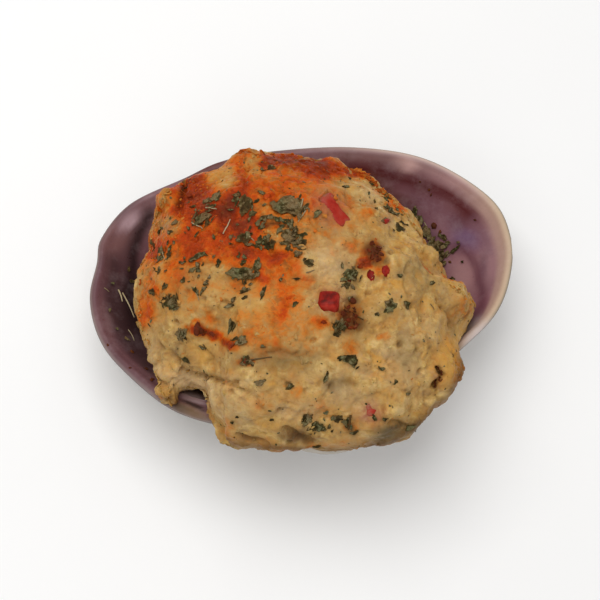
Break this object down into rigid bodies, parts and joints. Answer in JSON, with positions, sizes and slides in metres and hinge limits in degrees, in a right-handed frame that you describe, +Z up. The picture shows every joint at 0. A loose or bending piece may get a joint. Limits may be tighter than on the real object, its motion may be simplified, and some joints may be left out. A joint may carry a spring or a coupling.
{
  "type": "stuffed clam",
  "caption": "Half shell of a large hard clam heaped with browned bread and clam stuffing with herbs and red pepper.",
  "frame": {"origin": "centre of the small flat spot under the shell's belly that the clam rests on", "axes": "+Z up, +X along the shell's length towards its short end, -Y towards the hinge, which faces the viewer; the shell is tipped back and a little to its long end as it rests"},
  "size_m": [0.1065, 0.0866, 0.0545],
  "materials": {
    "shell": "smooth lavender and cream inside with dark purple bands, chalky ridged growth lines outside",
    "stuffing": "moist golden to dark brown baked crust with dried green herb flakes and small red bits",
    "pepper": "wet soft red cooked pepper"
  },
  "bodies": {
    "root": {"shell": "shell", "stuffing": "stuffing", "pepper_dice": "pepper", "pepper_strip": "pepper"}
  },
  "joints": []
}
